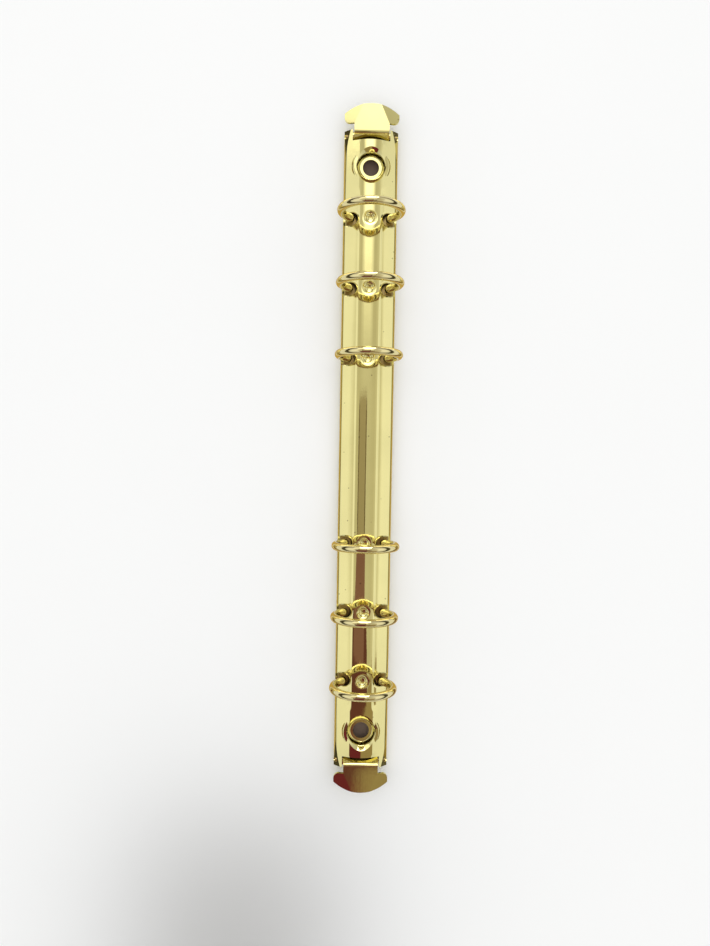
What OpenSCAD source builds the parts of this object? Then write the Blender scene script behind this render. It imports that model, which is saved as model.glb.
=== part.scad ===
// Six ring loose-leaf binder mechanism, closed. X across, Y along the housing, Z up.
// The curled rims stand on z = 0. Left and right, top and bottom halves mirror each other.

/* [Housing] */

// overall length of the housing
housing_length = 175.6; // [175:0.2:178]
// width over the side walls
housing_width = 14.8; // [14.6:0.1:15.2]
// height of the crown above the rims
housing_height = 5.2; // [5.1:0.1:5.6]
// thickness of the pressed sheet
sheet = 0.6; // [0.5:0.05:0.65]
// half width of the raised central rib
rib_half_width = 3.2; // [3:0.1:3.3]
// radius of the arched rib, outside
rib_radius = 10; // [9.5:0.5:12]
// slope of the wings beside the rib, degrees
wing_slope = 23; // [22:0.5:24]
// outside radius of the shoulder bend
shoulder_radius = 1.3; // [1.1:0.1:1.4]
// outside radius of the rim curl
rim_radius = 0.95; // [0.9:0.05:1]
// height of the curled-in lip that carries the hinge plates
lip_height = 1.5; // [1.3:0.1:1.5]
// depth of the end notch
notch_depth = 3.05; // [3:0.05:3.15]
// length over which the shoulders are pressed flat towards the ends
pinch_length = 7.6; // [7:0.2:8]
// how deep the flats cut into the shoulder bend at the ends
pinch_depth = 0.35; // [0.3:0.05:0.4]
// lean of the flats, degrees from upright
pinch_lean = 50; // [47:1:52]

/* [Stop dimples] */

// mouth diameter of a dimple
dimple_diameter = 2.5; // [2.2:0.1:2.6]
// depth of a dimple below the crown
dimple_depth = 0.85; // [0.6:0.05:0.9]

/* [Mounting holes] */

// distance of a mounting hole from the end of the housing
hole_inset = 10; // [9.8:0.1:10.2]
// diameter of a mounting hole
hole_diameter = 4.5; // [4:0.1:4.6]
// diameter of the flat seat round the hole
seat_diameter = 6.2; // [6:0.1:6.4]
// height of the seat above the rims
seat_height = 3; // [2.95:0.05:3.2]
// slope of the dished wall, degrees
dish_slope = 62; // [60:1:64]
// height of the steep dished wall above the seat
dish_depth = 1.25; // [1.2:0.05:1.35]
// slope of the rolled mouth above the wall, degrees
mouth_slope = 38; // [36:1:42]
// diameter of the boss that widens the rib round the hole
boss_diameter = 10.7; // [10.4:0.1:11]
// height of the boss cone's point above the rims
boss_height = 5.15; // [5.05:0.05:5.2]

/* [Rings] */

// inside diameter of a closed ring
ring_inside_diameter = 13.7; // [13.4:0.1:14]
// thickness of the ring wire
wire_diameter = 2.2; // [2.1:0.05:2.3]
// height of the ring centre above the rims
ring_centre_height = 10.5; // [10.3:0.1:11]
// pitch of the rings within a group of three
ring_pitch = 19.05; // [19:0.05:19.1]
// distance between the two middle rings
middle_pitch = 50.8; // [50:0.1:51.2]
// radius of the bend where the wire turns down into the hinge plate
root_bend_radius = 1.3; // [1.25:0.05:1.4]
// angle below level at which the wire leaves the ring circle, degrees
root_bend_angle = 43.9; // [43.4:0.1:44.6]
// depth of the pointed joint at the top of a ring
joint_point = 1.2; // [1:0.1:1.4]
// width of a ring slot in the housing
slot_width = 3.55; // [3.4:0.05:3.7]
// distance from the middle of the housing to the inner end of a ring slot
slot_start = 3.3; // [3.2:0.05:3.4]
// height to which a slot runs down the side wall
slot_floor = 2.5; // [2.4:0.1:2.7]
// the wire's radius steps down by this much at each end of the root bend
root_step = 0.03; // [0.02:0.01:0.05]
// diameter of the riveted tenon at the end of the wire
tenon_diameter = 1.4; // [1.3:0.1:1.5]

/* [Hinge plates] */

// thickness of a hinge plate
plate_thickness = 0.8; // [0.7:0.05:0.8]
// running clearance between a hinge plate's edge and the side wall
hinge_clearance = 0.05; // [0.04:0.01:0.1]
// height of the hinge line
hinge_z = 2; // [1.95:0.05:2]
// angle of a plate below level when the rings are closed, degrees
closed_angle = 5.5; // [5:0.5:5.5]
// distance of the plate end from the end of the housing
plate_inset = 4.4; // [4.3:0.1:4.6]
// radius of the clearance round a mounting hole dish
dish_clearance_radius = 4.7; // [4.6:0.05:4.75]
// gap between the two plates along the middle
seam_gap = 0.12; // [0.1:0.02:0.16]
// length of an interlocking tooth on the seam
tooth_length = 1.2; // [0.8:0.1:1.3]
// width of an interlocking tooth
tooth_width = 6; // [4:0.5:7]

/* [Levers] */

// thickness of the lever sheet
lever_sheet = 0.8; // [0.7:0.05:0.8]
// width of the lever neck
neck_width = 9.5; // [9:0.1:9.5]
// outward lean of the web between the pin and the thumb tab, degrees
web_lean = 33; // [30:1:35]
// clearance between the neck and each side of the end notch
neck_side_gap = 0.4; // [0.3:0.05:0.5]
// how far the thumb tab stands out past each side of the housing
tab_overhang = 0.05; // [0:0.05:0.2]
// distance from the end of the housing to the shoulders of the thumb tab
tab_shoulder_gap = 1; // [0.9:0.1:1.2]
// length of the thumb tab from its shoulders to its tip
tab_length = 5.2; // [4.8:0.1:5.6]
// height of the top of the neck
neck_height = 5.6; // [5.5:0.1:5.8]
// upward slope of the thumb tab, degrees
tab_slope = 3; // [1:1:4]
// downward bend of the two side lobes of the thumb tab, degrees
lobe_drop = 12; // [8:1:14]
// distance from the middle at which a lobe's crease reaches the tip
crease_tip = 2.4; // [2.2:0.1:3]
// diameter of the lever pin
pin_diameter = 1.2; // [1.1:0.05:1.2]
// distance of the pin from the end of the housing
pin_inset = 1.65; // [1.55:0.05:1.7]
// height of the pin
pin_z = 2.6; // [2.55:0.05:2.65]
// how far the pin ends stay inside the overall width
pin_recess = 0.4; // [0.3:0.05:0.45]
// radial running clearance of the lever on its pin
pin_clearance = 0.05; // [0.04:0.01:0.06]
// width of the fingers that hold the hinge plate ends
finger_width = 2.4; // [2:0.1:2.6]
// reach of the fingers from the pin
finger_reach = 3.2; // [3.1:0.05:3.3]
// thickness of the coined upper finger
upper_finger = 0.55; // [0.5:0.05:0.6]
// clear height between the two fingers
finger_gap = 1.6; // [1.5:0.05:1.65]
// tilt of the fingers when the rings are closed, degrees
finger_tilt = 20; // [19:1:21]

/* [Hidden] */

$fn = 40;

half_length = housing_length / 2;
half_width = housing_width / 2;
hole_y = half_length - hole_inset;
notch_width = neck_width + 2 * neck_side_gap;
wire_radius = wire_diameter / 2;
ring_radius = ring_inside_diameter / 2 + wire_radius;
plate_half = plate_thickness / 2;
hinge_x = half_width - sheet - hinge_clearance - plate_half;
plate_end = half_length - plate_inset;
ring_ys = [for (side = [1, -1], k = side > 0 ? [2, 1, 0] : [0, 1, 2])
    side * (middle_pitch / 2 + k * ring_pitch)];

// section of the housing
rib_edge_angle = asin(rib_half_width / rib_radius);
rib_edge_z = housing_height - rib_radius * (1 - cos(rib_edge_angle));
shoulder_x = half_width - shoulder_radius;
shoulder_z = rib_edge_z - (shoulder_x + shoulder_radius * sin(wing_slope) - rib_half_width)
    * tan(wing_slope) - shoulder_radius * cos(wing_slope);
pinch_radius = (pow(pinch_length, 2) + pow(pinch_depth, 2)) / (2 * pinch_depth);
rim_x = half_width - rim_radius;

// closed position of the left wire's tenon and root bend
plate_down = [cos(closed_angle), -sin(closed_angle)];
plate_up = [sin(closed_angle), cos(closed_angle)];
bend_reach = ring_radius + root_bend_radius;
bend_xz = [0, ring_centre_height] - bend_reach * [cos(root_bend_angle), sin(root_bend_angle)];
root_xz = bend_xz + root_bend_radius * plate_down - [-hinge_x, hinge_z];
tenon_offset = root_xz * plate_down;
root_straight = root_xz * plate_up - plate_half;

// interlocking teeth along the seam: between the rings, and beside the mounting holes
tooth_side_gap = 0.2;
tooth_end_gap = 0.3;
inner_tooth = middle_pitch / 4;
second_tooth = (middle_pitch + ring_pitch) / 2;
third_tooth = second_tooth + ring_pitch;
outer_tooth = hole_y - dish_clearance_radius - tooth_width / 2 - 2 * tooth_side_gap;
left_teeth = [-third_tooth, -inner_tooth, second_tooth, outer_tooth];
right_teeth = [-outer_tooth, -second_tooth, inner_tooth, third_tooth];

// lever section, measured from the pin
pin_y = half_length - pin_inset;
tab_width = housing_width + 2 * tab_overhang;
eye_inner = pin_diameter / 2 + pin_clearance;
eye_outer = eye_inner + lever_sheet;
neck_bend_inner = 0.5;
neck_bend_outer = neck_bend_inner + lever_sheet;
neck_bend_z = neck_height - pin_z - neck_bend_outer;
neck_bend_y = (neck_bend_z * sin(web_lean) + neck_bend_outer - eye_outer) / cos(web_lean);
crease_angle = atan2(neck_width / 2 - crease_tip, tab_length);

function arc(centre, radius, from, to, steps) =
    [for (k = [0:steps]) let (a = from + (to - from) * k / steps)
        centre + radius * [cos(a), sin(a)]];

// everything under one wing's face, at a depth below the outer one
module under_wing(depth) {
    translate([shoulder_x, shoulder_z])
        rotate(-wing_slope)
            translate([-2 * housing_width, -housing_width])
                square([2 * housing_width, housing_width + shoulder_radius - depth]);
}

// section under the outer face of the housing, or under the same face a depth further in
module under_skin(depth) {
    wing_start = rib_half_width + 0.5;
    inside = half_width - depth;
    intersection() {
        union() {
            intersection() {
                translate([0, housing_height - rib_radius])
                    circle(r = rib_radius - depth);
                translate([-wing_start, rim_radius])
                    square([2 * wing_start, housing_height]);
            }
            for (side = [1, -1])
                translate([side > 0 ? wing_start : -inside, rim_radius])
                    square([inside - wing_start, housing_height]);
        }
        under_wing(depth);
        mirror([1, 0])
            under_wing(depth);
    }
    translate([-inside, rim_radius])
        square([2 * inside, shoulder_z - rim_radius]);
    for (side = [1, -1])
        translate([side * shoulder_x, shoulder_z])
            circle(r = shoulder_radius - depth);
}

// everything outside the flat that runs into the shoulder towards one end
module pinch(depth) {
    translate([shoulder_x, half_length - pinch_length, shoulder_z])
        rotate([0, -pinch_lean, 0])
            difference() {
                translate([0, 0, -half_width / 2])
                    cube([half_width / 2, pinch_length + 2, half_width]);
                translate([shoulder_radius - pinch_radius, 0, -half_width])
                    cylinder(r = pinch_radius - depth, h = housing_width);
            }
}

// round boss that widens the rib at a mounting hole
boss_slope = 8;
boss_edge = 0.8;
module boss(depth) {
    edge = [boss_diameter / 2 - boss_edge, boss_height - tan(boss_slope) * boss_diameter / 2 - boss_edge];
    rotate_extrude()
        polygon(concat(
            [[0, rim_radius + 1], [0, edge[1] + edge[0] * tan(boss_slope) + (boss_edge - depth) / cos(boss_slope)]],
            arc(edge, boss_edge - depth, 90 - boss_slope, 0, 6),
            [[edge[0] + boss_edge - depth, rim_radius + 1]]
        ));
}

// dish round a mounting hole: everything above its surface, or above the same surface a depth lower
seat_bend = 0.35;
mouth_bend = 0.8;
module dish(depth) {
    wall = [cos(dish_slope), sin(dish_slope)];
    low = [seat_diameter / 2 - seat_bend * tan(dish_slope / 2), seat_height + seat_bend];
    corner = [seat_diameter / 2 + dish_depth / tan(dish_slope), seat_height + dish_depth];
    high = corner - mouth_bend * tan((dish_slope - mouth_slope) / 2) * wall + mouth_bend * [wall[1], -wall[0]];
    roll_end = high + (mouth_bend - depth) * [-sin(mouth_slope), cos(mouth_slope)];
    top = housing_height + 0.1;
    rotate_extrude()
        polygon(concat(
            [[0, seat_height - depth]],
            arc(low, seat_bend + depth, -90, dish_slope - 90, 6),
            arc(high, mouth_bend - depth, 90 + dish_slope, 90 + mouth_slope, 4),
            [[roll_end[0] + (top - roll_end[1]) / tan(mouth_slope), top], [0, top]]
        ));
}

// dimples are spherical caps pressed down through the crown
dimple_radius = (pow(dimple_diameter / 2, 2) + pow(dimple_depth, 2)) / (2 * dimple_depth);
dimple_centre = housing_height - dimple_depth + dimple_radius;

// solid under the outer face of the pressed housing, or under the same face a depth further in
module pressing(depth) {
    difference() {
        union() {
            rotate([90, 0, 0])
                linear_extrude(housing_length + 4 * depth, center = true)
                    under_skin(depth);
            for (side = [1, -1])
                translate([0, side * hole_y, 0])
                    boss(depth);
        }
        for (x = [0, 1], y = [0, 1])
            mirror([x, 0, 0])
                mirror([0, y, 0])
                    pinch(depth);
        for (side = [1, -1])
            translate([0, side * hole_y, 0])
                dish(depth);
        for (y = ring_ys)
            translate([0, y, dimple_centre])
                sphere(r = dimple_radius + depth);
    }
}

module rim() {
    translate([rim_x, rim_radius])
        difference() {
            circle(r = rim_radius);
            circle(r = rim_radius - sheet);
            translate([-rim_radius - 1, 0])
                square([2 * rim_radius + 2, rim_radius + 1]);
        }
    translate([rim_x - rim_radius, rim_radius])
        square([sheet, lip_height - rim_radius]);
}

module slot_cutter() {
    end_x = slot_start + slot_width / 2;
    for (side = [1, -1]) {
        translate([side * end_x, 0, slot_floor])
            cylinder(d = slot_width, h = housing_height);
        translate([side > 0 ? end_x : -half_width - 1, -slot_width / 2, slot_floor])
            cube([half_width + 1 - end_x, slot_width, housing_height]);
    }
}

module housing() {
    color("gold")
    difference() {
        union() {
            difference() {
                pressing(0);
                pressing(sheet);
            }
            for (side = [0, 1])
                mirror([side, 0, 0])
                    rotate([90, 0, 0])
                        linear_extrude(housing_length, center = true)
                            rim();
        }
        for (y = ring_ys)
            translate([0, y, 0])
                slot_cutter();
        for (side = [1, -1]) {
            translate([0, side * hole_y, 0])
                cylinder(d = hole_diameter, h = housing_height);
            translate([-notch_width / 2, side > 0 ? half_length - notch_depth : -half_length - 1, pin_z])
                cube([notch_width, notch_depth + 1, housing_height]);
            translate([0, side * pin_y, pin_z])
                rotate([0, 90, 0])
                    cylinder(d = pin_diameter, h = housing_width + 1, center = true);
        }
    }
}

// one hinge plate lying flat: hinge line on the Y axis, seam towards +X
module flat_plate(teeth, gaps) {
    reach = hinge_x - seam_gap / 2;
    difference() {
        union() {
            translate([0, -plate_end, -plate_half])
                cube([reach, 2 * plate_end, plate_thickness]);
            rotate([90, 0, 0])
                cylinder(r = plate_half, h = 2 * plate_end, center = true);
            for (y = teeth)
                translate([reach - 1, y - tooth_width / 2, -plate_half])
                    cube([1 + tooth_length, tooth_width, plate_thickness]);
        }
        for (y = gaps)
            translate([reach - tooth_length - tooth_end_gap, y - tooth_width / 2 - tooth_side_gap, -plate_thickness])
                cube([hinge_x, tooth_width + 2 * tooth_side_gap, 2 * plate_thickness]);
        for (side = [1, -1])
            translate([hinge_x, side * hole_y, 0])
                cylinder(r = dish_clearance_radius, h = 2 * plate_thickness, center = true);
        for (y = ring_ys)
            translate([tenon_offset, y, 0])
                tenon();
    }
}

// riveted end of a ring wire: straight shank, spread flush on the underside
module tenon() {
    translate([0, 0, -plate_half])
        rotate_extrude()
            polygon([
                [0, 0], [tenon_diameter / 2 + 0.3, 0], [tenon_diameter / 2, 0.3],
                [tenon_diameter / 2, plate_thickness], [0, plate_thickness]
            ]);
}

module at_left_hinge() {
    translate([-hinge_x, 0, hinge_z])
        rotate([0, closed_angle, 0])
            children();
}

module hinge_plate_left() {
    color("khaki")
    at_left_hinge()
        flat_plate(left_teeth, right_teeth);
}

module hinge_plate_right() {
    color("khaki")
    mirror([1, 0, 0])
        at_left_hinge()
            flat_plate(right_teeth, left_teeth);
}

// wire bent on a circle in the XZ plane
module wire_arc(centre, radius, from, to, thickness) {
    translate([centre[0], 0, centre[1]])
        rotate([90, 0, 0])
            rotate_extrude(start = from, angle = to - from)
                translate([radius, 0])
                    circle(r = thickness);
}

// block on one side of the pointed joint line, from the line out to side_x
joint_gap = 0.06;
module joint_block(line_x, side_x) {
    outer_y = wire_radius + 1;
    translate([0, 0, ring_centre_height])
        linear_extrude(ring_radius + 3)
            polygon([
                [side_x, -outer_y], [line_x, -outer_y], [line_x, -wire_radius],
                [line_x + joint_point, 0],
                [line_x, wire_radius], [line_x, outer_y], [side_x, outer_y]
            ]);
}

module wire_root() {
    wire_arc(bend_xz, root_bend_radius, -closed_angle, root_bend_angle + 3, wire_radius - root_step);
    at_left_hinge()
        translate([tenon_offset, 0, 0]) {
            translate([0, 0, plate_half])
                cylinder(r = wire_radius - 2 * root_step, h = root_straight + 0.08);
            tenon();
        }
}

module half_ring(pointed) {
    color("lightyellow") {
        wire_root();
        difference() {
            wire_arc([0, ring_centre_height], ring_radius, 75, 180 + root_bend_angle, wire_radius);
            if (pointed)
                joint_block(-joint_gap / 2, 5);
            else
                mirror([1, 0, 0])
                    joint_block(joint_gap / 2, -5);
        }
    }
}

module ring_left(k) {
    translate([0, ring_ys[k - 1], 0])
        half_ring(true);
}
module ring_right(k) {
    translate([0, ring_ys[k - 1], 0])
        mirror([1, 0, 0])
            half_ring(false);
}

// bent strip of sheet seen from the side, from one angle to another
module bent_strip(inner, outer, from, to) {
    difference() {
        circle(r = outer);
        circle(r = inner);
        polygon(concat([[0, 0]], arc([0, 0], 3 * outer, to, from + 360, 12)));
    }
}

module across(width) {
    rotate([90, 0, 90])
        linear_extrude(width, center = true)
            children();
}

// plan outline of the neck and thumb tab, Y measured from the pin
tab_corner = 1.45;
module tab_plan() {
    shoulder = pin_inset + tab_shoulder_gap;
    tip = shoulder + tab_length;
    belly = tip - shoulder - 2.2 * tab_corner;
    nose_radius = (pow(tab_width / 2 - 0.9, 2) + belly * belly) / (2 * belly);
    translate([-neck_width / 2, -eye_outer])
        square([neck_width, eye_outer + shoulder + 1]);
    for (side = [1, -1])
        translate([side * (tab_width / 2 - tab_corner), shoulder + tab_corner])
            circle(r = tab_corner);
    translate([-tab_width / 2 + tab_corner, shoulder])
        square([tab_width - 2 * tab_corner, 2 * tab_corner]);
    intersection() {
        translate([0, tip - nose_radius])
            circle(r = nose_radius, $fn = 120);
        translate([-tab_width / 2, shoulder + tab_corner])
            square([tab_width, tip]);
    }
}

// side view of the web, the bend and the thumb tab
module tab_section() {
    bend = [neck_bend_y, neck_bend_z];
    along = [cos(tab_slope), sin(tab_slope)];
    up = [-sin(tab_slope), cos(tab_slope)];
    web_foot = [-cos(web_lean), sin(web_lean)];
    reach = pin_inset + tab_shoulder_gap + tab_length;
    polygon(concat(
        [eye_outer * web_foot],
        arc(bend, neck_bend_outer, 180 - web_lean, 90 + tab_slope, 10),
        [bend + reach * along + neck_bend_outer * up, bend + reach * along + neck_bend_inner * up],
        arc(bend, neck_bend_inner, 90 + tab_slope, 180 - web_lean, 10),
        [eye_inner * web_foot]
    ));
}

// frame on the right lobe's crease: Y along it, X outwards, Z up from the face of the thumb tab
crease_lap = 0.02;
module at_crease() {
    translate([0, neck_bend_y, neck_bend_z])
        rotate([tab_slope, 0, 0])
            translate([neck_width / 2, pin_inset + tab_shoulder_gap - neck_bend_y, neck_bend_outer])
                rotate([0, 0, crease_angle])
                    children();
}

module lever() {
    color("gold")
    translate([0, pin_y, pin_z]) {
        intersection() {
            union() {
                difference() {
                    across(tab_width + 1)
                        tab_section();
                    for (side = [0, 1])
                        mirror([side, 0, 0])
                            at_crease()
                                translate([crease_lap, -tab_length, -tab_length])
                                    cube([tab_width, 3 * tab_length, 2 * tab_length]);
                }
                for (side = [0, 1])
                    mirror([side, 0, 0])
                        at_crease()
                            rotate([0, lobe_drop, 0])
                                translate([0, -tab_length, -lever_sheet])
                                    cube([tab_width, 3 * tab_length, lever_sheet]);
            }
            linear_extrude(housing_height + neck_height)
                tab_plan();
        }
        across(notch_width - 0.1)
            bent_strip(eye_inner, eye_outer, -90 + finger_tilt, 0);
        across(neck_width)
            bent_strip(eye_inner, eye_outer, -30, 180 - web_lean);
        for (side = [1, -1])
            translate([side * (neck_width / 2 + finger_width / 2 + 0.4) / 2, 0, 0])
                across((neck_width - finger_width) / 2 - 0.4)
                    difference() {
                        circle(r = eye_outer);
                        circle(r = eye_inner);
                    }
        across(finger_width)
            rotate(finger_tilt) {
                translate([-finger_reach, -eye_outer])
                    square([finger_reach + 0.1, lever_sheet]);
                translate([-finger_reach, finger_gap - eye_inner])
                    square([finger_reach, upper_finger]);
            }
    }
}

module lever_top() {
    lever();
}
module lever_bottom() {
    mirror([0, 1, 0])
        lever();
}

module lever_pin() {
    color("darkgoldenrod")
    translate([0, pin_y, pin_z])
        rotate([0, 90, 0])
            cylinder(d = pin_diameter, h = housing_width - 2 * pin_recess, center = true);
}
module lever_pin_top() {
    lever_pin();
}
module lever_pin_bottom() {
    mirror([0, 1, 0])
        lever_pin();
}

housing();
hinge_plate_left();
hinge_plate_right();
ring_left(1);  // ring_left_1
ring_left(2);  // ring_left_2
ring_left(3);  // ring_left_3
ring_left(4);  // ring_left_4
ring_left(5);  // ring_left_5
ring_left(6);  // ring_left_6
ring_right(1);  // ring_right_1
ring_right(2);  // ring_right_2
ring_right(3);  // ring_right_3
ring_right(4);  // ring_right_4
ring_right(5);  // ring_right_5
ring_right(6);  // ring_right_6
lever_top();
lever_bottom();
lever_pin_top();
lever_pin_bottom();
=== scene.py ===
"""Looks for the ring binder mechanism: mirror-bright brass on a white table, seen from above."""
import math

import bmesh
import bpy
from mathutils import Matrix, Vector


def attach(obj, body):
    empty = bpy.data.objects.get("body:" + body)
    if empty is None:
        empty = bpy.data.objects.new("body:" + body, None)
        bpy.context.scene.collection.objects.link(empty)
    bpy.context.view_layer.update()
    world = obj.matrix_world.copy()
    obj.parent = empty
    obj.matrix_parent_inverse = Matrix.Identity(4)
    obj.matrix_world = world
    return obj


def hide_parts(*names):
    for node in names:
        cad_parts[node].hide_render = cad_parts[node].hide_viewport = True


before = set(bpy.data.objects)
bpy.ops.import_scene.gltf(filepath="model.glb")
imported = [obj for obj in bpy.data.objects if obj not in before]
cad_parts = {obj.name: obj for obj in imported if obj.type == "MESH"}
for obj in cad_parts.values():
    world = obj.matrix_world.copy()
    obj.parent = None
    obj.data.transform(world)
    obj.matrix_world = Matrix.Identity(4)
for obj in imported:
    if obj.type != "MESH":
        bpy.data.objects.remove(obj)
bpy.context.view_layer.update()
MM = 0.001

# ---------------------------------------------------------------- camera
# A phone held about 200 mm above the housing, a little left of it and below its middle.
CAMERA_PLACE = Vector((-8.86, -2.65, 199.43)) * MM
CAMERA_TILT = (0.0177, 0.0304, -0.0178)  # about X, Y and Z, radians
FOCAL_PIXELS = 710.0
LONG_SIDE_PIXELS = 946
SENSOR_WIDTH = 36.0  # millimetres
CLIP_START, CLIP_END = 0.01, 20  # metres


def make_camera():
    data = bpy.data.cameras.new("camera")
    data.sensor_fit = "AUTO"
    data.sensor_width = SENSOR_WIDTH
    data.lens = SENSOR_WIDTH * FOCAL_PIXELS / LONG_SIDE_PIXELS
    data.clip_start, data.clip_end = CLIP_START, CLIP_END
    cam = bpy.data.objects.new("camera", data)
    bpy.context.scene.collection.objects.link(cam)
    tilt_x, tilt_y, turn_z = CAMERA_TILT
    world_to_camera = (Matrix.Rotation(turn_z, 4, "Z") @ Matrix.Rotation(tilt_x, 4, "X")
                       @ Matrix.Rotation(tilt_y, 4, "Y"))
    cam.matrix_world = Matrix.Translation(CAMERA_PLACE) @ world_to_camera.inverted()
    bpy.context.scene.camera = cam


# ---------------------------------------------------------------- materials
class Graph:
    """Small helper that adds and links shader nodes of one material or world."""

    def __init__(self, tree):
        self.nodes, self.links = tree.nodes, tree.links

    def add(self, kind, **values):
        node = self.nodes.new(kind)
        for name, value in values.items():
            target = name.replace("_", " ")
            if target in node.inputs:
                self.put(value, node.inputs[target])
            else:
                setattr(node, name, value)
        return node

    def put(self, value, socket):
        if isinstance(value, bpy.types.NodeSocket):
            self.links.new(value, socket)
        else:
            socket.default_value = value

    def math(self, operation, *values, clamp=False):
        node = self.nodes.new("ShaderNodeMath")
        node.operation, node.use_clamp = operation, clamp
        for value, socket in zip(values, node.inputs):
            self.put(value, socket)
        return node.outputs[0]

    def ease(self, value, start, end, at_start=0.0, at_end=1.0):
        """Smooth step from at_start to at_end while value goes from start to end."""
        step = self.add("ShaderNodeMapRange", interpolation_type="SMOOTHSTEP", Value=value,
                        From_Min=start, From_Max=end, To_Min=at_start, To_Max=at_end)
        return step.outputs[0]

    def band(self, value, start, full, end_full, end):
        """Smooth step up between start and full, and down between end_full and end."""
        rise = self.ease(value, start, full)
        return self.math("MULTIPLY", rise, self.ease(value, end_full, end, 1.0, 0.0))

    def mix(self, factor, first, second, blend="MIX"):
        """Colour mix: first where factor is 0, second (blended in) where it is 1."""
        node = self.add("ShaderNodeMix", data_type="RGBA", blend_type=blend)
        self.put(factor, node.inputs["Factor"])
        self.put(first, node.inputs["A"])
        self.put(second, node.inputs["B"])
        return node.outputs["Result"]


def new_material(name):
    mat = bpy.data.materials.new(name)
    mat.use_nodes = True
    return mat, Graph(mat.node_tree), mat.node_tree.nodes["Principled BSDF"]


# how fine each pattern of the plating is, in cells per metre, and how strong it shows
CLOUD_SCALE, DRAWN_SCALE, GRAIN_SCALE, SPECK_SCALE = 90.0, 2600.0, 420.0, 260.0
DRAWN_STRETCH = 0.04  # scale of the drawing marks along the strip: small, so they run long
SPECK_CORE, SPECK_RIM = 0.03, 0.07
CLOUD_DARK, CLOUD_LIGHT, SPECK_DARK = 0.95, 1.03, 0.55  # times the plating's colour
CLOUD_RANGE = (0.3, 0.7)
SMOOTH_SPOT, DULL_SPOT = 0.6, 1.5  # times the roughness
DRAWN_HEIGHT, GRAIN_HEIGHT = 0.10, 0.55
BUMP_STRENGTH, BUMP_DISTANCE = 0.035, 0.0004


def shade(colour, gain):
    return [min(1, c * gain) for c in colour] + [1]


def brass(name, colour, roughness):
    """Polished plated brass: cloudy tint, fine drawing marks along the strip, a few dark specks."""
    mat, graph, shader = new_material(name)
    shader.inputs["Metallic"].default_value = 1.0
    place = graph.add("ShaderNodeTexCoord").outputs["Object"]
    cloud = graph.add("ShaderNodeTexNoise", Vector=place, Scale=CLOUD_SCALE,
                      Detail=4.0).outputs["Fac"]
    along = graph.add("ShaderNodeMapping", Vector=place)
    along.inputs["Scale"].default_value = (1.0, DRAWN_STRETCH, 1.0)
    drawn = graph.add("ShaderNodeTexNoise", Vector=along.outputs[0], Scale=DRAWN_SCALE,
                      Detail=2.0).outputs["Fac"]
    grain = graph.add("ShaderNodeTexNoise", Vector=place, Scale=GRAIN_SCALE,
                      Detail=2.0).outputs["Fac"]
    speck = graph.add("ShaderNodeTexVoronoi", Vector=place, Scale=SPECK_SCALE)
    clean = graph.add("ShaderNodeMapRange", Value=speck.outputs["Distance"],
                      From_Min=SPECK_CORE, From_Max=SPECK_RIM).outputs[0]

    tint = graph.add("ShaderNodeValToRGB", Fac=cloud)
    low, high = tint.color_ramp.elements
    low.position, high.position = CLOUD_RANGE
    low.color, high.color = shade(colour, CLOUD_DARK), shade(colour, CLOUD_LIGHT)
    spotted = graph.mix(clean, shade(colour, SPECK_DARK), tint.outputs["Color"])
    graph.put(spotted, shader.inputs["Base Color"])

    rough = graph.add("ShaderNodeMapRange", Value=cloud, To_Min=roughness * SMOOTH_SPOT,
                      To_Max=roughness * DULL_SPOT)
    graph.put(rough.outputs[0], shader.inputs["Roughness"])

    height = graph.math("ADD", graph.math("MULTIPLY", drawn, DRAWN_HEIGHT),
                        graph.math("MULTIPLY", grain, GRAIN_HEIGHT))
    bump = graph.add("ShaderNodeBump", Strength=BUMP_STRENGTH, Distance=BUMP_DISTANCE,
                     Height=height)
    graph.put(bump.outputs[0], shader.inputs["Normal"])
    return mat


PALE_GOLD = (0.80, 0.73, 0.335)
GOLD = brass("gold_plate", PALE_GOLD, 0.06)
LEVER_GOLD = brass("lever_plate", PALE_GOLD, 0.07)
RING_GOLD = brass("ring_plate", (0.78, 0.69, 0.36), 0.05)
INNER_GOLD = brass("inner_plate", (0.36, 0.265, 0.11), 0.28)


# ---------------------------------------------------------------- pieces
def plating(name):
    if name.startswith("ring_"):
        return RING_GOLD
    if name.startswith(("hinge_plate", "lever_pin")):
        return INNER_GOLD
    return LEVER_GOLD if name.startswith("lever") else GOLD


for name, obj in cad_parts.items():
    obj.data.materials.clear()
    obj.data.materials.append(plating(name))

# The press rolls the sheet's top face over where it is punched or dented. The source has these
# edges sharp, so the housing is drawn again with its top face drawn down along them.
# All lengths here are in millimetres. The depths are judged from the photo's reflections.
MIDDLE_RING_Y, RING_PITCH, RINGS_PER_GROUP = 25.4, 19.05, 3
RING_YS = [side * (MIDDLE_RING_Y + RING_PITCH * k)
           for side in (-1, 1) for k in range(RINGS_PER_GROUP)]
DIMPLE_RADIUS, DIMPLE_ROLL, DIMPLE_DROP = 1.25, 1.0, 0.34
SLOT_END_X, SLOT_RADIUS, SLOT_ROLL, SLOT_DROP = 5.075, 1.775, 0.55, 0.16
SHOULDER_FADE = (6.0, 6.7)  # the slots' roll fades out over the shoulder
GROOVE_LOW, GROOVE_END = 3.4, 5.2  # valley pressed along each side of the rib
GROOVES = {-1: (2.8, 0.05), 1: (2.7, 0.12)}  # where it starts and its depth, left and right
HOLE_Y, BOSS_CLEAR = 77.8, (6.8, 8.6)  # the valleys fade out round the bosses

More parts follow.
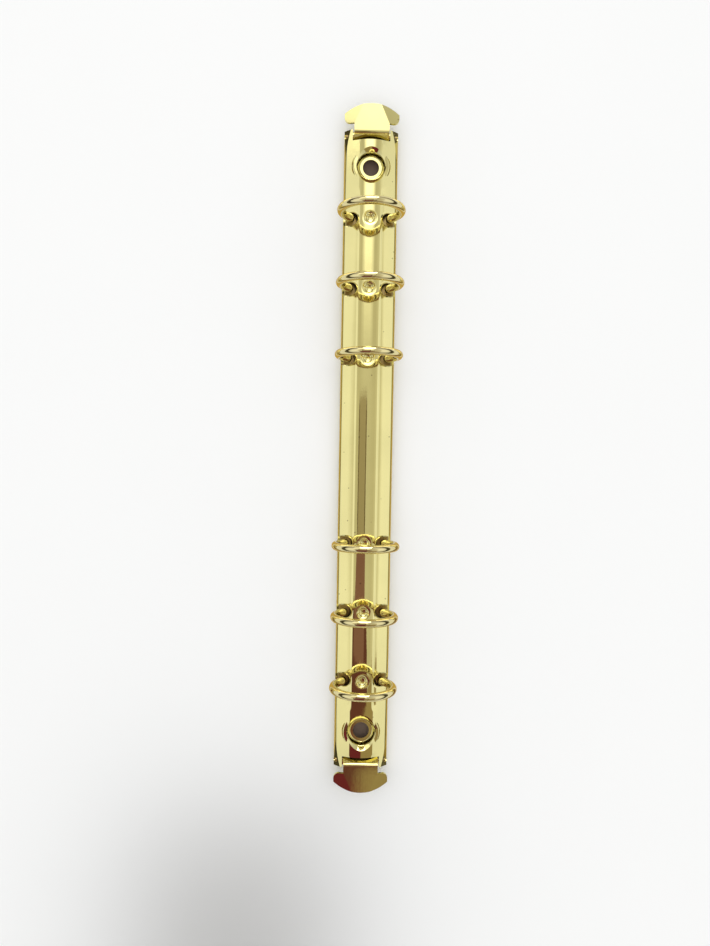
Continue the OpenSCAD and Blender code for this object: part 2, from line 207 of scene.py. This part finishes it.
# The slots' floors in the side walls slope inwards. The source has them level, and its ring wires
# run into them when the rings open. The photo doesn't show the floors: both drops are a choice.
# Known fault: ROOM_IN clears the wires, but it cuts up to 0.3 mm into the hinge plates' edges,
# at every pose. With 0 that is gone and the wires run into the floors again.
SLOT_FLOOR, WALL_IN, WALL_MIDDLE = 2.5, 6.4, 7.0
ROOM_IN, ROOM_OUT = 0.45, 0.1  # how much lower the floor is, inside and outside
FLOOR_SLACK, SLOT_SLACK = 0.004, 0.01

# Grid of the new top face. Its triangles lie above SKIN_FLOOR and face upwards by SKIN_UP.
SKIN_FLOOR, SKIN_UP = 2.6, 0.3
GROOVE_REACH = 85.0
GROOVE_STEP, BOSS_STEP, DIMPLE_STEP, SLOT_STEP = 0.1, 0.4, 0.12, 0.1
GRID_MARGIN = 0.1
SAME_POINT, CUT_SLACK = 2e-6, 1e-7  # metres
SLOPE_SPAN = 0.002


def faded(value, start, end):
    """0 up to start, 1 from end on, straight in between."""
    return min(1.0, max(0.0, (value - start) / (end - start)))


def groove_drop(x, y):
    """Depth of the valley beside the rib at x, y."""
    ax, (start, depth) = abs(x), GROOVES[1 if x > 0 else -1]
    fade = faded(math.hypot(x, abs(y) - HOLE_Y), *BOSS_CLEAR)
    if not start < ax < GROOVE_END or fade == 0:
        return 0.0
    if ax < GROOVE_LOW:
        rise = (ax - start) / (GROOVE_LOW - start)
        return depth * fade * rise * rise * (3 - 2 * rise)
    return depth * fade * (1 - (ax - GROOVE_LOW) / (GROOVE_END - GROOVE_LOW)) ** 2


def edge_drop(x, y):
    """How far the rolled edges draw the top face down at x, y."""
    nearest = min(RING_YS, key=lambda ring: abs(ring - y))
    dy, ax = y - nearest, abs(x)
    away = math.hypot(ax, dy)
    if away < DIMPLE_RADIUS:
        return DIMPLE_DROP * (away / DIMPLE_RADIUS) ** 2
    if away < DIMPLE_RADIUS + DIMPLE_ROLL:
        return DIMPLE_DROP * (1 - (away - DIMPLE_RADIUS) / DIMPLE_ROLL) ** 2
    gap = (math.hypot(ax - SLOT_END_X, dy) if ax < SLOT_END_X else abs(dy)) - SLOT_RADIUS
    if gap < SLOT_ROLL:
        fade_start, fade_end = SHOULDER_FADE
        fade = min(1.0, max(0.0, (fade_end - ax) / (fade_end - fade_start)))
        return SLOT_DROP * fade * (1 - max(gap, 0.0) / SLOT_ROLL) ** 2
    return 0.0


def press_drop(x, y):
    return groove_drop(x, y) + edge_drop(x, y)


def press_slope(x, y):
    """How fast the drop grows along X and along Y."""
    return ((press_drop(x + SLOPE_SPAN, y) - press_drop(x - SLOPE_SPAN, y)) / (2 * SLOPE_SPAN),
            (press_drop(x, y + SLOPE_SPAN) - press_drop(x, y - SLOPE_SPAN)) / (2 * SLOPE_SPAN))


def is_skin(face):
    return face.calc_center_median().z > SKIN_FLOOR * MM and face.normal.z > SKIN_UP


def meets(face, low, high):
    """Whether the face's box reaches into the rectangle between two corners."""
    return all(max(v.co[axis] for v in face.verts) > low[axis] * MM
               and min(v.co[axis] for v in face.verts) < high[axis] * MM for axis in (0, 1))


def refine(bm, low, high, steps):
    """Cut the top face into a grid between two corners."""
    faces = [f for f in bm.faces if is_skin(f) and meets(f, low, high)]
    edges = [e for f in faces for e in f.edges]
    verts = [v for f in faces for v in f.verts]
    geom = list(dict.fromkeys(edges + verts + faces))
    for axis in (0, 1):
        count = round((high[axis] - low[axis]) / steps[axis])
        for k in range(count + 1):
            spot, facing = [0, 0, 0], [0, 0, 0]
            spot[axis] = (low[axis] + (high[axis] - low[axis]) * k / count) * MM
            facing[axis] = 1
            geom = bmesh.ops.bisect_plane(bm, geom=geom, dist=CUT_SLACK, plane_co=spot,
                                          plane_no=facing)["geom"]


def refine_top(bm):
    """Cut the grids that the valleys, dimples and slots need."""
    for side, (start, _) in GROOVES.items():
        low, high = sorted((side * start, side * GROOVE_END))
        refine(bm, (low, -GROOVE_REACH), (high, GROOVE_REACH), (GROOVE_STEP, GROOVE_REACH))
    for end in (-1, 1):
        low, high = sorted((end * (HOLE_Y - BOSS_CLEAR[1]), end * GROOVE_REACH))
        refine(bm, (-GROOVE_END, low), (GROOVE_END, high), (GROOVE_END, BOSS_STEP))
    shoulder = SHOULDER_FADE[1]
    for ring in RING_YS:
        reach = DIMPLE_RADIUS + DIMPLE_ROLL + GRID_MARGIN
        refine(bm, (-reach, ring - reach), (reach, ring + reach), (DIMPLE_STEP, DIMPLE_STEP))
        reach = SLOT_RADIUS + SLOT_ROLL + GRID_MARGIN
        for x in (-shoulder, SLOT_END_X - reach):
            refine(bm, (x, ring - reach), (x + shoulder - SLOT_END_X + reach, ring + reach),
                   (SLOT_STEP, SLOT_STEP))


def press_top(bm, kept):
    """Lower the top face by press_drop and tilt its kept normals to match."""
    skin = [f for f in bm.faces if is_skin(f)]
    for face in skin:
        for loop in face.loops:
            slope_x, slope_y = press_slope(loop.vert.co.x / MM, loop.vert.co.y / MM)
            n = loop[kept]
            loop[kept] = Vector((n.x + slope_x * n.z, n.y + slope_y * n.z, n.z)).normalized()
    for vert in {v for f in skin for v in f.verts}:
        vert.co.z -= press_drop(vert.co.x / MM, vert.co.y / MM) * MM


def slope_slot_floors(bm):
    """Lower the slots' floors in the side walls, more on their inner side."""
    for vert in bm.verts:
        on_floor = (abs(vert.co.z / MM - SLOT_FLOOR) < FLOOR_SLACK
                    and abs(vert.co.x) > WALL_IN * MM)
        nearest = min(abs(vert.co.y / MM - ring) for ring in RING_YS)
        if on_floor and nearest < SLOT_RADIUS + SLOT_SLACK:
            vert.co.z -= (ROOM_IN if abs(vert.co.x) < WALL_MIDDLE * MM else ROOM_OUT) * MM


def rolled_housing(source):
    mesh = source.data.copy()
    mesh.name = "housing_pressed"
    corner_normals = [n.vector.copy() for n in mesh.corner_normals]
    bm = bmesh.new()
    bm.from_mesh(mesh)
    kept = bm.loops.layers.float_vector.new("kept_normal")
    for face in bm.faces:
        for loop in face.loops:
            loop[kept] = corner_normals[loop.index]
    bmesh.ops.remove_doubles(bm, verts=bm.verts, dist=SAME_POINT)
    bm.normal_update()
    refine_top(bm)
    bmesh.ops.triangulate(bm, faces=[f for f in bm.faces if len(f.verts) > 3])
    bm.normal_update()
    press_top(bm, kept)
    slope_slot_floors(bm)
    normals = [loop[kept].copy() for face in bm.faces for loop in face.loops]
    bm.loops.layers.float_vector.remove(kept)
    bm.to_mesh(mesh)
    bm.free()
    mesh.normals_split_custom_set(normals)
    piece = bpy.data.objects.new("housing_pressed", mesh)
    bpy.context.scene.collection.objects.link(piece)
    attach(piece, "cover")
    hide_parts("housing")


rolled_housing(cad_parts["housing"])


# ---------------------------------------------------------------- table, room and light
def add_stage(name, points, faces, material, camera=False, glossy=True, diffuse=False):
    """Mesh through the given points, in millimetres, seen only by the kinds of ray named."""
    mesh = bpy.data.meshes.new(name)
    mesh.from_pydata([Vector(p) * MM for p in points], [], faces)
    mesh.materials.append(material)
    obj = bpy.data.objects.new(name, mesh)
    bpy.context.scene.collection.objects.link(obj)
    obj.visible_camera, obj.visible_glossy, obj.visible_diffuse = camera, glossy, diffuse
    obj.visible_shadow = obj.visible_transmission = diffuse


def add_card(name, outline, z, material, **seen):
    """Flat card at height z with the given corners."""
    corners = [(x, y, z) for x, y in outline]
    add_stage(name, corners, [tuple(range(len(corners)))], material, **seen)


def plain(name, colour, roughness=0.8):
    mat, _, shader = new_material(name)
    shader.inputs["Base Color"].default_value = (*colour, 1)
    shader.inputs["Roughness"].default_value = roughness
    return mat


MOTTLE_SCALE, MOTTLE_DARK, PAPER_ROUGH, PAPER_SHINE = 30.0, 0.99, 0.6, 0.2


def paper(name, colour):
    """White table: even, with the faintest mottling."""
    mat, graph, shader = new_material(name)
    place = graph.add("ShaderNodeTexCoord").outputs["Object"]
    mottle = graph.add("ShaderNodeTexNoise", Vector=place, Scale=MOTTLE_SCALE,
                       Detail=3.0).outputs["Fac"]
    tint = graph.add("ShaderNodeValToRGB", Fac=mottle)
    for stop, gain in zip(tint.color_ramp.elements, (MOTTLE_DARK, 1.0)):
        stop.color = shade(colour, gain)
    graph.put(tint.outputs["Color"], shader.inputs["Base Color"])
    shader.inputs["Roughness"].default_value = PAPER_ROUGH
    shader.inputs["Specular IOR Level"].default_value = PAPER_SHINE
    return mat


def seen_card(name, colour, soft_x, soft_y):
    """Card that shows one brightness in the metal and fades out towards its edges.

    soft_x and soft_y say over which share of its width and height it fades, at its low and its
    high end."""
    mat, graph, shader = new_material(name)
    graph.nodes.remove(shader)
    place = graph.add("ShaderNodeTexCoord").outputs["Generated"]
    axes = graph.add("ShaderNodeSeparateXYZ", Vector=place)
    mask = graph.math("MULTIPLY",
                      graph.band(axes.outputs["X"], 0.0, soft_x[0], 1 - soft_x[1], 1.0),
                      graph.band(axes.outputs["Y"], 0.0, soft_y[0], 1 - soft_y[1], 1.0))
    mix = graph.add("ShaderNodeMixShader")
    graph.put(mask, mix.inputs[0])
    graph.put(graph.add("ShaderNodeBsdfTransparent").outputs[0], mix.inputs[1])
    graph.put(graph.add("ShaderNodeEmission", Color=(*colour, 1)).outputs[0], mix.inputs[2])
    graph.put(mix.outputs[0], graph.nodes["Material Output"].inputs["Surface"])
    return mat


def rectangle(low_x, high_x, low_y, high_y):
    return [(low_x, low_y), (high_x, low_y), (high_x, high_y), (low_x, high_y)]


TABLE_HALF = 2000
add_card("table", rectangle(-TABLE_HALF, TABLE_HALF, -TABLE_HALF, TABLE_HALF), 0,
         paper("table_white", (0.94, 0.945, 0.94)), camera=True, diffuse=True)

# What the metal mirrors: the phone and the hand that holds it, the person behind, the lit
# ceiling. Only glossy rays see these cards.
PHONE_Z, PERSON_Z, CEILING_Z = 200, 262, 1500
add_card("phone_edge", rectangle(-88, 11, -50, 38), PHONE_Z + 1,
         seen_card("phone_edge_dark", (0.14, 0.10, 0.06), (0.02, 0.02), (0.03, 0.16)))
add_card("phone_back", rectangle(-79, 3, -50, 36), PHONE_Z,
         seen_card("phone_back_grey", (0.40, 0.34, 0.25), (0.06, 0.06), (0.02, 0.06)))
add_card("hand", [(-84, -44), (16, -44), (26, -118), (-112, -118)], PHONE_Z - 1,
         seen_card("hand_brown", (0.245, 0.125, 0.115), (0.06, 0.06), (0.03, 0.06)))
add_card("sleeve", [(-150, -96), (52, -96), (104, -160), (96, -205), (18, -212), (14, -460),
                    (-196, -460), (-178, -175), (-196, -130)], PERSON_Z,
         seen_card("sleeve_red", (0.135, 0.05, 0.045), (0.02, 0.02), (0.02, 0.02)))
add_card("coat", [(8, -168), (100, -162), (116, -142), (235, -142), (235, -420), (0, -420),
                  (0, -205)], PERSON_Z - 2,
         seen_card("coat_olive", (0.36, 0.28, 0.16), (0.08, 0.1), (0.05, 0.05)))
add_card("lining", [(-60, -172), (30, -174), (36, -300), (-160, -300), (-160, -200)],
         PERSON_Z - 1, seen_card("lining_red", (0.16, 0.024, 0.04), (0.05, 0.05), (0.15, 0.08)))
add_card("ceiling", rectangle(-700, 600, 120, 1250), CEILING_Z,
         seen_card("ceiling_white", (1.95, 1.93, 1.85), (0.34, 0.36), (0.62, 0.1)))
# the lamps themselves, further off: only steep edges and the tops of the rings catch them
add_card("lamps", [(-500, 1250), (560, 1250), (1500, 5200), (-1400, 5200)], CEILING_Z,
         seen_card("lamps_white", (4.0, 3.95, 3.8), (0.1, 0.1), (0.04, 0.1)))
add_card("ceiling_left", [(-1700, 930), (-420, 930), (-620, 2700), (-1700, 2700)],
         CEILING_Z + 5,
         seen_card("ceiling_left_white", (1.45, 1.42, 1.30), (0.2, 0.1), (0.05, 0.1)))

# the table right beside the housing, lit golden by it
GLOW_X, GLOW_HALF_Y, GLOW_Z, GLOW_SOFT = (7.6, 18), 90, 0.06, (0.2, 0.3)
for side, name in ((-1, "glow_left"), (1, "glow_right")):
    low_x, high_x = sorted(side * x for x in GLOW_X)
    add_card(name, rectangle(low_x, high_x, -GLOW_HALF_Y, GLOW_HALF_Y), GLOW_Z,
             seen_card(name, (0.60, 0.42, 0.12), GLOW_SOFT[::side], (0.03, 0.03)))

# the photographer's soft shadow on the table, lower left: a card above the table casts it
SHADE_Z = 34
add_card("shade", [(-66, -200), (-6, -200), (-6, -104), (-60, -104)], SHADE_Z,
         plain("shade_grey", (0.3, 0.29, 0.28)), glossy=False, diffuse=True)

# the table right under the housing lies in its deep shadow, seen through the mounting holes
UNDER_X, UNDER_Y, UNDER_Z = 6.2, 86, 0.05
add_card("under_shadow", rectangle(-UNDER_X, UNDER_X, -UNDER_Y, UNDER_Y), UNDER_Z,
         plain("shadow_brown", (0.24, 0.17, 0.13)), camera=True, diffuse=True)

# brassware lying on either side, seen only in the flanks of the rings and the side walls
NEIGHBOUR_X, NEIGHBOUR_HALF_Y = 25.2, 92
HALF_SECTION = [(7.4, 0), (7.4, 2.4), (3.2, 4.7)]  # out from the middle and up
SECTION = [(-x, z) for x, z in HALF_SECTION] + [(0, 5.2)] + HALF_SECTION[::-1]
for side, name in ((-1, "neighbour_left"), (1, "neighbour_right")):
    points = [(side * NEIGHBOUR_X + x, y, z)
              for y in (-NEIGHBOUR_HALF_Y, NEIGHBOUR_HALF_Y) for x, z in SECTION]
    count = len(SECTION)
    faces = [(k, k + 1, count + k + 1, count + k) for k in range(count - 1)]
    add_stage(name, points, faces, RING_GOLD)

# height of the direction, brightness, warmth: what the metal sees to either side
ROOM = [
    (0.0, 0.16, 0.8), (0.10, 0.10, 0.8), (0.16, 0.06, 0.8), (0.25, 0.09, 0.8), (0.33, 0.80, 1.0),
    (0.50, 1.03, 1.0), (0.72, 1.06, 0.99), (0.78, 0.76, 0.92), (0.88, 0.62, 0.88),
    (1.0, 0.66, 0.90),
]
END_DIM = 0.6  # towards the two ends of the housing the room is dimmer
END_DIM_FROM, END_DIM_TO = 0.2, 0.75
DUSK = (0.46, 0.40, 0.30, 1)  # low behind the two ends it isn't black but dim and brownish
DUSK_FROM, DUSK_TO = 0.62, 0.85
TABLE_LIGHT = (1.05, 1.05, 1.05, 1)
BACKGROUND = (1, 1, 1, 1)


def make_room():
    """World: even white light on the table, the room in the metal, white beyond the table."""
    world = bpy.data.worlds.new("room")
    bpy.context.scene.world = world
    world.use_nodes = True
    room = Graph(world.node_tree)
    direction = room.add("ShaderNodeTexCoord").outputs["Generated"]
    axes = room.add("ShaderNodeSeparateXYZ", Vector=direction)
    ramp = room.add("ShaderNodeValToRGB", Fac=axes.outputs["Z"])
    stops = ramp.color_ramp.elements
    while len(stops) < len(ROOM):
        stops.new(0.5)
    # all places first: the ramp sorts its stops as they are placed
    for stop, (height, _, _) in zip(stops, ROOM):
        stop.position = height
    for stop, (_, level, warm) in zip(stops, ROOM):
        stop.color = (level, level * (1 + warm) / 2, level * warm * warm, 1)

    endwards = room.math("ABSOLUTE", axes.outputs["Y"])
    seen = room.add("ShaderNodeVectorMath", operation="SCALE")
    room.put(ramp.outputs["Color"], seen.inputs[0])
    room.put(room.ease(endwards, END_DIM_FROM, END_DIM_TO, 1.0, END_DIM), seen.inputs["Scale"])
    in_metal = room.mix(room.ease(endwards, DUSK_FROM, DUSK_TO), seen.outputs[0], DUSK, "LIGHTEN")

    ray = room.add("ShaderNodeLightPath")
    lit = room.mix(ray.outputs["Is Diffuse Ray"], in_metal, TABLE_LIGHT)
    shown = room.mix(ray.outputs["Is Camera Ray"], lit, BACKGROUND)
    room.put(shown, room.nodes["Background"].inputs["Color"])


make_room()
make_camera()
bpy.context.scene.view_settings.view_transform = "Standard"
